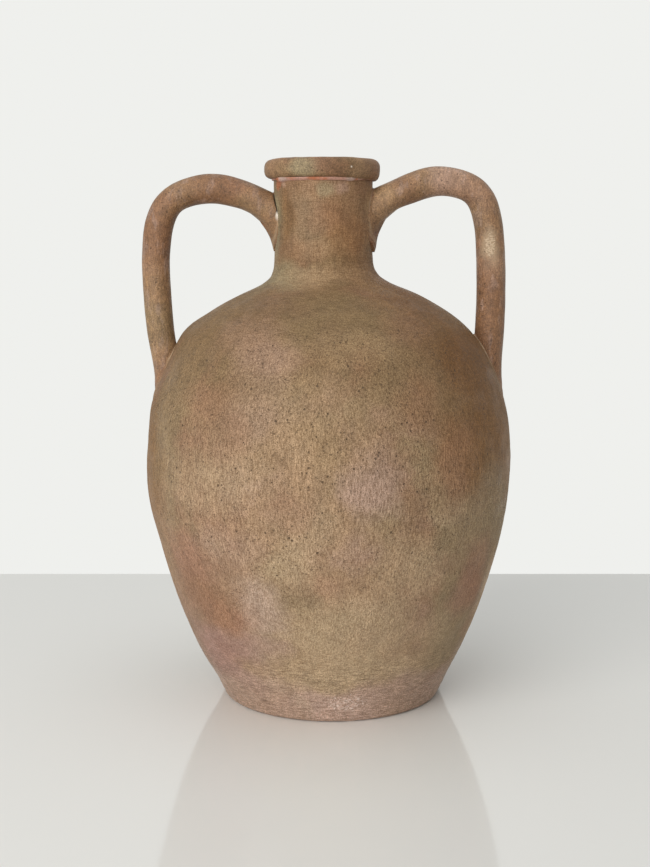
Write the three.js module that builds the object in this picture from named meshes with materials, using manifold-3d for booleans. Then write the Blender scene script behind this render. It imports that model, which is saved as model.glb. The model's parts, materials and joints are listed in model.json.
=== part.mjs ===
// A two-handled terracotta amphora, thrown in sections and luted together with slip.
// Millimetres, +Z up. The origin is the centre of the foot's underside, the handles lie along X,
// and the front is -Y. The neck and rim stand a little off the belly's axis, towards the left handle.
import * as THREE from "three";
import { mergeVertices } from "three/addons/utils/BufferGeometryUtils.js";
import Module from "manifold-3d";

const wasm = await Module();
wasm.setup();

// Driving dimensions.
const SEGMENTS = 44; // facets round every turned piece
const ARC_STEPS = 2; // how finely the rim's rounded edges are divided
const GAP = 0.3; // clearance left between pieces that touch
const WALL = 7.5; // thickness of the thrown wall
const FLOOR = 10; // thickness of the floor
const FLOOR_BEVEL = 6; // where the floor turns up into the wall
const SHORTEST_EDGE = 2; // no outline has a shorter edge next to a joint
const FOOT_RADIUS = 76;
const BELLY_SEAM = 168; // height of the joint between the two belly sections, at the widest part
const NECK_SEAM = 296; // height of the joint between the shoulder and the neck
const LAP = 8; // depth of the half-lap in each of those joints
const NECK_RADIUS = 35;
const BORE_RADIUS = 28.5;
const RIM_RADIUS = 41;
const RIM_BASE = 372; // underside of the rim ring
const RIM_TOP = 385;
const RIM_FILLET_TOP = 5.5;
const RIM_FILLET_BASE = 4.5;
const RIM_FILLET_MOUTH = 3;
const SPIGOT_RADIUS = 32; // the neck's top, which the rim ring sits round
const SPIGOT_TOP = 380;
const COIL_WIDTH = 14; // height of the coil pressed into each seam from inside
const COIL_THICKNESS = 3.5;
const COIL_CLEARANCE = 0.9; // the wall curves in above and below the seam, so the coil keeps this far off it
const BEAD = 2.6; // how far a luting bead stands out from the handle and from the wall
const RIM_BEAD = 2.2;
const NECK_SHIFT = -4; // how far the neck's axis stands from the belly's, along X
const SHIFT_START = 270; // the heights between which the shoulder takes up that shift
const SHIFT_END = 312;

// The outside of the thrown belly and of the neck, as [radius, height], from foot to rim.
const BELLY_OUTLINE = [
  [FOOT_RADIUS, 0],
  [79.5, 2.5],
  [83, 11],
  [94, 32],
  [107.5, 65],
  [118.5, 99],
  [127, 133],
  [130.5, BELLY_SEAM],
];
const SHOULDER_OUTLINE = [
  [130.5, BELLY_SEAM],
  [129.5, 196],
  [124.5, 220],
  [115.5, 242],
  [101, 265],
  [77, 283],
  [49, NECK_SEAM],
];
const NECK_OUTLINE = [
  [49, NECK_SEAM],
  [40.5, 301],
  [36.5, 307],
  [NECK_RADIUS, 316],
  [NECK_RADIUS - 0.3, 345],
  [NECK_RADIUS, RIM_BASE - GAP],
];

// The bore's widening at the foot of the neck, from the top down.
const BORE_FLARE = [
  [BORE_RADIUS, 318],
  [BORE_RADIUS + 1.5, 308],
  [BORE_RADIUS + 5, 300],
];

// Stations along each handle's centre line, from the neck to its tail on the shoulder:
// [outward from the belly's axis, height, half depth in the handle's plane, half width across it].
// turn is the handle's direction from the belly's axis, in degrees round from +X.
const LEFT_HANDLE = {
  turn: 180,
  stations: [
    [21, 337, 17, 13.5],
    [30, 343.5, 16, 13.2],
    [39.5, 350, 12.3, 12.2],
    [49.5, 355.2, 9.9, 10.8],
    [60, 360.2, 9.7, 10.3],
    [85, 365, 10.1, 10.3],
    [110.6, 356.5, 9.8, 10.2],
    [120.2, 341, 10.1, 10.2],
    [123.3, 317, 10, 10.2],
    [122.8, 291, 9.9, 10.2],
    [121, 266, 9.7, 10.4],
    [118.3, 249, 9.3, 10.6],
    [116.6, 233, 9, 10.6],
    [117.2, 218, 8.6, 9.5],
    [118.5, 206, 7, 7.5],
  ],
};
const RIGHT_HANDLE = {
  turn: 0,
  stations: [
    [18, 339.5, 17, 13.5],
    [27, 347, 15.8, 13.2],
    [37, 354, 12, 12.2],
    [47, 360, 10.3, 10.8],
    [59, 365.6, 10.2, 10.4],
    [78.6, 370.4, 10.3, 10.4],
    [102.8, 362.2, 10.3, 10.4],
    [111.8, 345, 10.5, 10.5],
    [115, 317, 10.4, 10.5],
    [115.7, 283, 10.3, 10.5],
    [114.8, 262, 10.3, 10.7],
    [114.2, 241, 9.9, 10.8],
    [116, 222, 8.9, 9.5],
    [118.5, 208, 7, 7.5],
  ],
};
const HANDLE_SIDES = 12;
const HANDLE_STEPS = 36;
const NECK_JOINT_ABOVE = 300; // a handle's joint with the neck lies above this height

// A smooth curve through outline points, sampled at count steps.
function sampled(points, count) {
  const curve = new THREE.SplineCurve(points.map(([r, z]) => new THREE.Vector2(r, z)));
  return curve.getPoints(count);
}

// The same curve moved outwards by a distance, or inwards where it is negative.
function offset(points, distance) {
  return points.map((point, i) => {
    const before = points[Math.max(i - 1, 0)];
    const after = points[Math.min(i + 1, points.length - 1)];
    const along = after.clone().sub(before).normalize();
    return new THREE.Vector2(point.x + along.y * distance, point.y - along.x * distance);
  });
}

// The shoulder takes up the neck's shift between two heights, so every piece there moves with it.
function shifted(geometry) {
  const position = geometry.getAttribute("position");
  for (let i = 0; i < position.count; i++) {
    const share = THREE.MathUtils.smoothstep(position.getZ(i), SHIFT_START, SHIFT_END);
    position.setX(i, position.getX(i) + NECK_SHIFT * share);
  }
  return geometry;
}

// Turns an outline of Vector2(radius, height) round the vertical axis.
function turned(outline) {
  const geometry = new THREE.LatheGeometry(outline, SEGMENTS);
  geometry.rotateX(Math.PI / 2);
  return shifted(geometry);
}

// A ring whose outline closes on itself.
function ring(outline) {
  return turned([...outline, outline[0].clone()]);
}

function solid(geometry) {
  const bare = geometry.clone();
  bare.deleteAttribute("normal");
  bare.deleteAttribute("uv");
  const merged = mergeVertices(bare, 1e-3);
  const mesh = new wasm.Mesh({
    numProp: 3,
    vertProperties: merged.attributes.position.array,
    triVerts: new Uint32Array(merged.index.array),
  });
  return new wasm.Manifold(mesh);
}

function geometryOf(manifold) {
  const mesh = manifold.getMesh();
  const geometry = new THREE.BufferGeometry();
  geometry.setAttribute("position", new THREE.BufferAttribute(mesh.vertProperties, 3));
  geometry.setIndex(new THREE.BufferAttribute(mesh.triVerts, 1));
  return geometry;
}

const clay = new THREE.MeshStandardMaterial({ color: 0x8f7558, roughness: 0.85, metalness: 0 });
const bareClay = new THREE.MeshStandardMaterial({ color: 0xb4684a, roughness: 0.9, metalness: 0 });
const slip = new THREE.MeshStandardMaterial({ color: 0xb8a07e, roughness: 0.7, metalness: 0 });

function piece(name, geometry, material) {
  const mesh = new THREE.Mesh(geometry, material);
  mesh.name = name;
  return mesh;
}

// The outside of the belly sections and of the neck, sampled once, so that neighbours meet.
const belly = sampled(BELLY_OUTLINE, 9);
const shoulder = sampled(SHOULDER_OUTLINE, 10);
const neck = sampled(NECK_OUTLINE, 8);

// The thrown bowl with its floor. Its top edge has a rebate for the upper section's tongue.
function lowerBody() {
  const top = belly.at(-1);
  const rebate = top.y - LAP;
  const inside = offset(belly, -WALL).filter(
    (point) => point.y > FLOOR + FLOOR_BEVEL && point.y < rebate - SHORTEST_EDGE,
  );
  return turned([
    new THREE.Vector2(0, 0),
    ...belly,
    new THREE.Vector2(top.x - WALL / 2, top.y),
    new THREE.Vector2(top.x - WALL / 2, rebate),
    new THREE.Vector2(top.x - WALL, rebate),
    ...inside.reverse(),
    new THREE.Vector2(inside.at(-1).x - FLOOR_BEVEL, FLOOR),
    new THREE.Vector2(0, FLOOR),
  ]);
}

// The thrown dome above it, with a tongue below and a rebate at the neck's seam.
function upperBody() {
  const foot = shoulder[0];
  const top = shoulder.at(-1);
  const tongue = foot.x - WALL / 2 - GAP;
  return ring([
    new THREE.Vector2(foot.x - WALL, foot.y - LAP + GAP),
    new THREE.Vector2(tongue, foot.y - LAP + GAP),
    new THREE.Vector2(tongue, foot.y + GAP),
    new THREE.Vector2(foot.x, foot.y + GAP),
    ...shoulder.slice(1),
    new THREE.Vector2(top.x - WALL / 2, top.y - WALL / 2),
    new THREE.Vector2(top.x - WALL, top.y - WALL / 2),
    ...offset(shoulder, -WALL).slice(1).reverse(),
  ]);
}

// The thrown neck: its flared foot sits in the shoulder's rebate, and its top is a spigot for the rim.
function neckTube() {
  const foot = neck[0];
  return ring([
    new THREE.Vector2(foot.x - WALL, foot.y - WALL / 2 + GAP),
    new THREE.Vector2(foot.x - WALL / 2 - GAP, foot.y - WALL / 2 + GAP),
    new THREE.Vector2(foot.x - GAP, foot.y + GAP),
    ...neck.slice(1),
    new THREE.Vector2(SPIGOT_RADIUS, RIM_BASE - GAP),
    new THREE.Vector2(SPIGOT_RADIUS, SPIGOT_TOP),
    new THREE.Vector2(BORE_RADIUS, SPIGOT_TOP),
    ...BORE_FLARE.map(([r, z]) => new THREE.Vector2(r, z)),
  ]);
}

// The rolled rim: rounded outside, flat on top, and hooked over the spigot.
function rimRing() {
  const path = new THREE.Path();
  path.moveTo(SPIGOT_RADIUS + GAP, RIM_BASE);
  path.lineTo(RIM_RADIUS - RIM_FILLET_BASE, RIM_BASE);
  path.absarc(RIM_RADIUS - RIM_FILLET_BASE, RIM_BASE + RIM_FILLET_BASE, RIM_FILLET_BASE, -Math.PI / 2, 0);
  path.absarc(RIM_RADIUS - RIM_FILLET_TOP, RIM_TOP - RIM_FILLET_TOP, RIM_FILLET_TOP, 0, Math.PI / 2);
  path.lineTo(BORE_RADIUS + RIM_FILLET_MOUTH, RIM_TOP);
  path.absarc(
    BORE_RADIUS + RIM_FILLET_MOUTH,
    RIM_TOP - RIM_FILLET_MOUTH,
    RIM_FILLET_MOUTH,
    Math.PI / 2,
    Math.PI,
  );
  path.lineTo(BORE_RADIUS, SPIGOT_TOP + GAP);
  path.lineTo(SPIGOT_RADIUS + GAP, SPIGOT_TOP + GAP);
  return ring(path.getPoints(ARC_STEPS));
}

// The line of bare clay under the rim: a small fillet between the neck and the ring.
function rimBead() {
  const inner = NECK_RADIUS + GAP;
  const top = RIM_BASE - GAP;
  return ring([
    new THREE.Vector2(inner, top - RIM_BEAD),
    new THREE.Vector2(inner + RIM_BEAD * 0.6, top - RIM_BEAD * 0.6),
    new THREE.Vector2(inner + RIM_BEAD, top),
    new THREE.Vector2(inner, top),
  ]);
}

// A coil of clay pressed flat over the belly's seam from inside.
function bellySeamCoil() {
  const outer = belly.at(-1).x - WALL - COIL_CLEARANCE;
  const middle = BELLY_SEAM - LAP / 2;
  return ring([
    new THREE.Vector2(outer, middle - COIL_WIDTH / 2),
    new THREE.Vector2(outer, middle + COIL_WIDTH / 2),
    new THREE.Vector2(outer - COIL_THICKNESS, middle + COIL_WIDTH / 4),
    new THREE.Vector2(outer - COIL_THICKNESS, middle - COIL_WIDTH / 4),
  ]);
}

// Everything inside the pot's outer surface, grown outwards by a distance, to cut the handles with.
function filledBody(grow) {
  const outside = [...belly, ...shoulder.slice(1), ...neck.slice(1)];
  const grown = offset(outside, grow).slice(1);
  const outline = [
    new THREE.Vector2(0, -grow),
    new THREE.Vector2(FOOT_RADIUS + grow, -grow),
    ...grown,
    new THREE.Vector2(0, RIM_BASE),
  ];
  return solid(turned(outline));
}

// A rod swept through the stations: a cylinder whose rings are moved onto the centre line.
function sweptHandle(handle, grow) {
  const centre = new THREE.CatmullRomCurve3(handle.stations.map(([x, z]) => new THREE.Vector3(x, 0, z)));
  const halves = new THREE.CatmullRomCurve3(
    handle.stations.map(([, , depth, width]) => new THREE.Vector3(depth, width, 0)),
  );
  const across = new THREE.Vector3(0, 1, 0);
  const geometry = new THREE.CylinderGeometry(1, 1, 1, HANDLE_SIDES, HANDLE_STEPS);
  const position = geometry.getAttribute("position");
  for (let i = 0; i < position.count; i++) {
    const share = THREE.MathUtils.clamp(position.getY(i) + 0.5, 0, 1);
    const half = halves.getPoint(share);
    const outward = centre.getTangent(share).cross(across);
    const point = centre
      .getPoint(share)
      .addScaledVector(outward, position.getX(i) * (half.x + grow))
      .addScaledVector(across, position.getZ(i) * (half.y + grow));
    position.setXYZ(i, point.x, point.y, point.z);
  }
  geometry.rotateZ(THREE.MathUtils.degToRad(handle.turn));
  return solid(geometry);
}

// A handle, cut where it meets the pot, and the two beads of slip that hold it on.
function handlePieces(handle) {
  const closeBody = filledBody(GAP);
  const rod = sweptHandle(handle, 0).subtract(closeBody);
  const collar = sweptHandle(handle, BEAD)
    .intersect(filledBody(BEAD))
    .subtract(closeBody)
    .subtract(sweptHandle(handle, GAP));
  const largestFirst = (a, b) => b.volume() - a.volume();
  const heightOf = (body) => (body.boundingBox().min[2] + body.boundingBox().max[2]) / 2;
  const beads = collar.decompose().sort(largestFirst);
  return {
    rod: rod.decompose().sort(largestFirst)[0],
    neckBead: beads.find((body) => heightOf(body) > NECK_JOINT_ABOVE),
    shoulderBead: beads.find((body) => heightOf(body) < NECK_JOINT_ABOVE),
  };
}

function addHandle(amphora, side, handle) {
  const { rod, neckBead, shoulderBead } = handlePieces(handle);
  amphora.add(piece(`handle_${side}`, geometryOf(rod), clay));
  amphora.add(piece(`handle_${side}_neck_luting`, geometryOf(neckBead), slip));
  amphora.add(piece(`handle_${side}_shoulder_luting`, geometryOf(shoulderBead), slip));
}

const amphora = new THREE.Group();
amphora.add(piece("lower_body", lowerBody(), clay));
amphora.add(piece("upper_body", upperBody(), clay));
amphora.add(piece("neck", neckTube(), clay));
amphora.add(piece("rim_ring", rimRing(), clay));
amphora.add(piece("rim_luting_bead", rimBead(), bareClay));
amphora.add(piece("belly_seam_coil", bellySeamCoil(), bareClay));
addHandle(amphora, "left", LEFT_HANDLE);
addHandle(amphora, "right", RIGHT_HANDLE);

export default amphora;
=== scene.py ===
"""A two-handled terracotta jar with a chalky painted finish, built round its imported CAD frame.

Lengths are in metres and +Z is up.
"""

import json
import math

import bmesh
import bpy
import numpy as np
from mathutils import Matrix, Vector, noise
from mathutils.bvhtree import BVHTree


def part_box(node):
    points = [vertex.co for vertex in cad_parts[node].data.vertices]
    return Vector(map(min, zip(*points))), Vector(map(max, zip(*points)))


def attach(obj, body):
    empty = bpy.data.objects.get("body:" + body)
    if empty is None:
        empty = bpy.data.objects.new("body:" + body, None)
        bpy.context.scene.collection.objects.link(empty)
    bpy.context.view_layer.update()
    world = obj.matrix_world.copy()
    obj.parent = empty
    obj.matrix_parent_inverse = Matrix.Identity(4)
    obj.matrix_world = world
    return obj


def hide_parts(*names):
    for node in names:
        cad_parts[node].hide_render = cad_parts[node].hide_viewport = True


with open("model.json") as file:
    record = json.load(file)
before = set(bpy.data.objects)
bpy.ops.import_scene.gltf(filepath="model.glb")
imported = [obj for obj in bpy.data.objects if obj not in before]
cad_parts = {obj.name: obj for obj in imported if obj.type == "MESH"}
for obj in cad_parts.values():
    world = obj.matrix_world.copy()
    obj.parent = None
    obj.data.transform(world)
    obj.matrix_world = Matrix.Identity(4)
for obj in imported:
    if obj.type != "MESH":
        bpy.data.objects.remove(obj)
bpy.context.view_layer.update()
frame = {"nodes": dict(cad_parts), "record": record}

MM = 0.001
COLUMNS = 512  # columns of faces round each turned piece
ANGLES = np.arange(COLUMNS) / COLUMNS * math.tau  # where they are, round from the front
AROUND = np.stack([np.sin(ANGLES), -np.cos(ANGLES), 0 * ANGLES], axis=1)
OUTER_STEP = 1.3 * MM  # spacing of the rings on outer walls
INNER_STEP = 5 * MM  # on inner walls, floors and lips
SUNK = 0.4 * MM  # how far a piece that is luted on reaches into the one below it
CORNER = math.radians(36)  # an outline that turns more than this at a point has a corner there
CORNER_BY_STRAIGHT = math.radians(24)  # or this, beside a straight longer than LONG
LONG = 20 * MM

# What the frame says about the jar.
NECK_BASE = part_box("neck")[0].z + 2 * MM
RIM_BASE, RIM_TOP = (corner.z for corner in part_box("rim_ring"))


# ---- mesh helpers


def lumps(points, size, seed):
    """Smooth noise, about -1 to 1, at an array of points; its lumps are size metres across."""
    moved = points / size + np.array([seed * 17.3, seed * 5.1, seed * 9.7])
    return np.array([noise.noise(p) for p in moved.tolist()]) * 1.6


def smoothstep(low, high, value):
    share = np.clip((value - low) / (high - low), 0, 1)
    return share * share * (3 - 2 * share)


def unit(vectors):
    return vectors / np.linalg.norm(vectors, axis=-1, keepdims=True)


def new_object(name, points, faces, material):
    mesh = bpy.data.meshes.new(name)
    mesh.from_pydata(points.tolist(), [], faces)
    mesh.update()
    shape = bmesh.new()
    shape.from_mesh(mesh)
    bmesh.ops.recalc_face_normals(shape, faces=shape.faces)
    shape.to_mesh(mesh)
    shape.free()
    mesh.polygons.foreach_set("use_smooth", [True] * len(mesh.polygons))
    mesh.set_sharp_from_angle(angle=math.radians(50))
    mesh.materials.append(material)
    made = bpy.data.objects.new(name, mesh)
    bpy.context.scene.collection.objects.link(made)
    return made


def wound(rows, columns, closed):
    """Quads between rows of vertices that go round. If closed, the last row joins the first."""
    faces = []
    for row in range(rows if closed else rows - 1):
        here = row * columns
        there = (row + 1) % rows * columns
        for column in range(columns):
            after = (column + 1) % columns
            faces.append((here + column, here + after, there + after, there + column))
    return faces


def fans(count, columns):
    """Triangles that join the first and the last row to the two points after the last row."""
    last = count - columns
    faces = []
    for column in range(columns):
        after = (column + 1) % columns
        faces.append((count, after, column))
        faces.append((count + 1, last + column, last + after))
    return faces


def store(piece, name, values):
    """Keep a value at each point of a piece, for its material."""
    named = piece.data.attributes.new(name, "FLOAT", "POINT")
    named.data.foreach_set("value", values)


def stand_for(piece, slot, *nodes):
    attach(piece, "root")
    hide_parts(*nodes)


def catmull(knots, step):
    """A smooth curve through an array of knots, sampled about every step metres."""
    padded = np.vstack([2 * knots[0] - knots[1], knots, 2 * knots[-1] - knots[-2]])
    out = []
    for before, a, b, after in zip(padded, padded[1:], padded[2:], padded[3:]):
        count = max(1, round(np.linalg.norm((b - a)[:2]) / step))
        for share in np.arange(count) / count:
            bend = 2 * a + (b - before) * share
            bend = bend + (2 * before - 5 * a + 4 * b - after) * share**2
            bend = bend + (3 * a - before - 3 * b + after) * share**3
            out.append(bend / 2)
    return np.array([*out, knots[-1]])


# ---- the turned outlines, from the frame


def section(node):
    """The corners of a turned CAD piece's section, in order, as (radius, height, centre)."""
    mesh = frame["nodes"][node].data
    corners = np.array([v.co for v in mesh.vertices])
    key = [tuple(place) for place in (corners / (MM / 50)).round().astype(int).tolist()]
    places = dict(zip(key, corners))
    heights = np.array(list(places.values()))
    front = {}
    for name, (x, y, z) in places.items():
        level = heights[abs(heights[:, 2] - z) < MM / 50, 0]
        centre = (level.min() + level.max()) / 2
        if y < MM / 2 and abs(x - centre) < MM / 50:
            front[name] = (-y, z, centre)
    beside = {name: set() for name in front}
    for edge in mesh.edges:
        a, b = (key[v] for v in edge.vertices)
        if a in front and b in front and a != b:
            beside[a].add(b)
            beside[b].add(a)
    walk = [min(front, key=lambda name: (front[name][1], front[name][0]))]
    following = max(beside[walk[0]], key=lambda name: front[name][0] - front[name][1])
    while following is not None:
        walk.append(following)
        ahead = [name for name in beside[following] if name not in walk]
        following = ahead[0] if ahead else None
    return np.array([front[name] for name in walk])


def runs(loop, closed):
    """A section cut at its corners into smooth runs. A corner beside a long straight counts sooner."""
    if closed:
        loop = np.vstack([loop, loop[:1]])
    steps = np.diff(loop[:, :2], axis=0)
    lengths = np.linalg.norm(steps, axis=1)
    turn = abs(np.diff(np.unwrap(np.arctan2(steps[:, 1], steps[:, 0]))))
    by_straight = np.maximum(lengths[1:], lengths[:-1]) > LONG
    corner = (turn > CORNER) | (by_straight & (turn > CORNER_BY_STRAIGHT))
    cuts = [0, *(np.flatnonzero(corner) + 1), len(loop) - 1]
    return [loop[a : b + 1] for a, b in zip(cuts, cuts[1:])]


def climbs(run):
    """Sections are walked outwards and then up, so a run that climbs is an outside."""
    return len(run) > 2 and run[-1, 1] > run[0, 1] + MM


def wall_outline():
    """The whole outer wall, from the foot to under the rim, as fine (radius, height, centre)."""
    knots = []
    for node in WALL_NODES:
        loop = section(node)
        for run in runs(loop, loop[0, 0] > MM):
            if climbs(run):
                knots.extend(knot for knot in run if not knots or knot[1] > knots[-1][1] + MM)
    return catmull(np.array(knots), OUTER_STEP)


WALL_NODES = ("lower_body", "upper_body", "neck")
WALL = wall_outline()
ALONG_WALL = unit(np.gradient(WALL[:, :2], axis=0))


def wall_radius(height):
    return np.interp(height, WALL[:, 1], WALL[:, 0])


def wall_centre(height):
    return np.interp(height, WALL[:, 1], WALL[:, 2])


def clearance(points):
    """How far points stand out from the jar's wall, square to it."""
    height = points[..., 2]
    away = np.hypot(points[..., 0] - wall_centre(height), points[..., 1]) - wall_radius(height)
    return away * np.interp(height, WALL[:, 1], ALONG_WALL[:, 1])


def fine_section(node):
    """A turned CAD piece's section made smooth and fine.

    Gives its points as (radius, height, centre), their directions square to the section, and which of
    them are outside.
    """
    loop = section(node)
    closed = loop[0, 0] > MM
    pieces = runs(loop, closed)
    points, square, outside = [], [], []
    for index, run in enumerate(pieces):
        shown = climbs(run)
        if shown and node in WALL_NODES:
            low, high = run[0, 1] - MM / 2, run[-1, 1] + MM / 2
            chosen = (WALL[:, 1] > low) & (WALL[:, 1] < high)
            fine, along = WALL[chosen], ALONG_WALL[chosen]
        else:
            fine = catmull(run, OUTER_STEP if shown else INNER_STEP)
            along = unit(np.gradient(fine[:, :2], axis=0))
        keep = np.ones(len(fine), bool)
        keep[0] = shown or (index == 0 and not closed)
        keep[-1] = shown or not climbs(pieces[(index + 1) % len(pieces)])
        points.append(fine[keep])
        square.append(np.stack([along[:, 1], -along[:, 0]], axis=1)[keep])
        outside.append(np.full(keep.sum(), shown))
    points, square, outside = (np.concatenate(each) for each in (points, square, outside))
    off_axis = points[:, 0] > MM
    return points[off_axis], square[off_axis], outside[off_axis]


# ---- what hands and tools left


def burst_pits():
    """(place, radius, depth) of the larger pits in the wall, thicker on the middle of the belly."""
    draw = np.random.default_rng(11)
    pits = []
    for _ in range(240):
        height = draw.normal(0.165, 0.06)
        if not 0.03 < height < 0.3:
            continue
        angle = draw.uniform(0, math.tau)
        radius = wall_radius(height)
        x = wall_centre(height) + radius * math.sin(angle)
        place = np.array([x, -radius * math.cos(angle), height])
        pits.append((place, draw.uniform(1.1, 1.9) * MM, draw.uniform(0.3, 0.7) * MM))
    return pits


PITS = burst_pits()


# Broad swells of the hand-built wall: side (1 is +X, 0 all round), height, half height, how far out.
SWELLS = (
    (-1, 0.152, 0.026, 1.7 * MM),
    (-1, 0.213, 0.008, 0.9 * MM),
    (0, 0.066, 0.034, 0.6 * MM),
    (1, NECK_BASE, 0.013, 1.3 * MM),
)

# Where extra clay was pressed on, in the crotch under the left handle.
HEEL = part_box("handle_left_shoulder_luting")[1]
PRESSED_ON = np.array([HEEL.x + 4 * MM, 0, HEEL.z + 4 * MM])


def wall_marks(points):
    """How far hand work moves the outer wall out: swells, throwing lines, pressed-on clay and pits."""
    above_foot = smoothstep(0.5 * MM, 6 * MM, points[:, 2])
    near_foot = 1 - smoothstep(25 * MM, 62 * MM, points[:, 2])
    marks = 0.35 * MM * lumps(points, 95 * MM, 1)
    marks += 0.13 * MM * lumps(points, 24 * MM, 2)
    marks += 0.08 * MM * lumps(points * [1, 1, 8], 40 * MM, 3)
    marks += 0.17 * MM * near_foot * lumps(points * [1, 1, 15], 44 * MM, 4)
    for side, level, half, out in SWELLS:
        swell = out * np.exp(-(((points[:, 2] - level) / half) ** 2))
        if side:
            swell *= smoothstep(0.4, 0.9, side * points[:, 0] / np.hypot(points[:, 0], points[:, 1]))
        marks += swell
    from_heel = np.linalg.norm(points - PRESSED_ON, axis=1)
    marks += 2.3 * MM * np.exp(-((from_heel / (14 * MM)) ** 2))
    for place, radius, depth in PITS:
        near = np.flatnonzero(np.abs(points - place).max(axis=1) < 2 * radius)
        away = np.linalg.norm(points[near] - place, axis=1)
        marks[near] -= depth * np.exp(-2 * (away / radius) ** 2)
    return marks * above_foot


def lean(height):
    """How far the hand-built jar stands off its axis, level by level."""
    foot = 1.2 * MM * (1 - smoothstep(8 * MM, 30 * MM, height))
    low = 0.6 * MM * (1 - smoothstep(105 * MM, 150 * MM, height))
    below_neck = 0.7 * MM * np.exp(-(((height - NECK_BASE) / (12 * MM)) ** 2))
    rim = -1.0 * MM * smoothstep(RIM_BASE - 2 * MM, RIM_BASE, height)
    return foot + low + below_neck + rim


def inner_marks(points):
    """The broad ridges that fingers leave inside. The underside stays flat."""
    above_underside = smoothstep(0.5 * MM, 5 * MM, points[:, 2])
    return 0.5 * MM * above_underside * lumps(points * [1, 1, 4], 70 * MM, 5)


def rim_marks(points):
    """The rolled rim is lumpier than the wall."""
    return 0.3 * MM * lumps(points, 26 * MM, 6) + 0.12 * MM * lumps(points, 7 * MM, 7)


def rim_sag(points):
    """How far the rim's underside hangs below the CAD's: most on the right, where it dips."""
    low = 1 - smoothstep(RIM_BASE, RIM_BASE + 6 * MM, points[:, 2])
    across = (points[:, 0] - wall_centre(RIM_BASE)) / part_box("rim_ring")[1].y
    return low * (0.5 * MM + 0.95 * MM * across * (1 + across) + 0.2 * MM * lumps(points, 18 * MM, 9))


# Lumps of the bead under the rim: degrees round from the front, half width in degrees, how far out.
BEAD_LUMPS = ((-56, 8, 2.0 * MM), (31, 5, 0.9 * MM))


def bead_marks(points):
    """The bead under the rim was pressed on by hand, and smeared away at the two sides."""
    smeared = 0.15 * MM + 1.1 * MM * smoothstep(17 * MM, 27 * MM, points[:, 0])
    smeared += 1.5 * MM * smoothstep(32 * MM, 39 * MM, -points[:, 0])
    marks = 0.25 * MM * lumps(points, 9 * MM, 8) - smeared
    around = np.degrees(np.arctan2(points[:, 0] - wall_centre(RIM_BASE), -points[:, 1]))
    for degrees, half, out in BEAD_LUMPS:
        marks += out * np.exp(-(((around - degrees) / half) ** 2))
    return marks


# ---- turned pieces


def ring_at(centre, radius, height):
    return np.array([centre, 0, height]) + radius * AROUND


def splayed(out, up):
    """For each column of a ring, the direction so far out and so far up."""
    return out * AROUND + np.array([0, 0, up])


def turned_piece(name, node, material, marks, slot, inner=None, sag=None):
    """A turned CAD piece made fine, with marks on its outside and, if given, inner ones inside.

    Sag, if given, says how far each point hangs lower.
    """
    outline, square, outside = fine_section(node)
    if node == "rim_ring":
        last = np.flatnonzero(outside)[-1]
        outline[last] += [-0.05 * MM, -0.4 * MM, 0]
    points = []
    for (radius, height, centre), (out, up), shown in zip(outline, square, outside):
        ring = ring_at(centre, radius, height)
        moved = marks(ring) if shown else inner(ring) if inner else 0 * ANGLES
        points.append(ring + splayed(out, up) * moved[:, None])
    points = np.vstack(points)
    points[:, 0] += lean(points[:, 2])
    if sag:
        points[:, 2] -= sag(points)
    closed = section(node)[0, 0] > MM
    faces = wound(len(outline), COLUMNS, closed)
    if not closed:
        faces += fans(len(points), COLUMNS)
        points = np.vstack([points, [0, 0, outline[0, 1]], [0, 0, outline[-1, 1]]])
    stand_for(new_object(name, points, faces, material), slot, node)


def coil_marks(points):
    """The seam coil inside was smoothed down with a finger."""
    return 0.3 * MM * lumps(points, 9 * MM, 8) - 1.2 * MM


def bead_piece(name, node, material, marks, slot, step):
    """A thin ring of clay pressed on by hand: the CAD ring made round, fine and lumpy."""
    loop = section(node)
    outline = catmull(np.vstack([loop, loop[:1]]), step)[:-1]
    middle = outline[:, :2].mean(axis=0)
    rows = []
    for radius, height, centre in outline:
        ring = ring_at(centre, radius, height)
        out, up = np.array([radius, height]) - middle
        direction = splayed(out, up) / math.hypot(out, up)
        rows.append(ring + direction * marks(ring)[:, None])
    made = new_object(name, np.vstack(rows), wound(len(rows), COLUMNS, True), material)
    stand_for(made, slot, node)


# ---- handles


def opening(name):
    boxes = frame["record"]["physics"]["openings"]
    low, high = next(np.array(box["box_m"]) for box in boxes if box["name"] == name)
    return (low + high) / 2


def tree_of(node):
    mesh = frame["nodes"][node].data
    return BVHTree.FromPolygons([v.co for v in mesh.vertices], [f.vertices for f in mesh.polygons])


# What hands did to the handles: the arch is fuller than the leg, the bend between them stands further
# out and is a little thinner, and each root was pinched.
FULLER = 0.45 * MM
LEG_THINNER = 0.5 * MM
BEND_OUT = 0.9 * MM
BEND_THINNER = 0.1 * MM
BEND_REACH = 17 * MM
ROOT_REACH = 11 * MM
ROOT_PINCH = {"left": 0.1 * MM, "right": 1.1 * MM}


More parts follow.
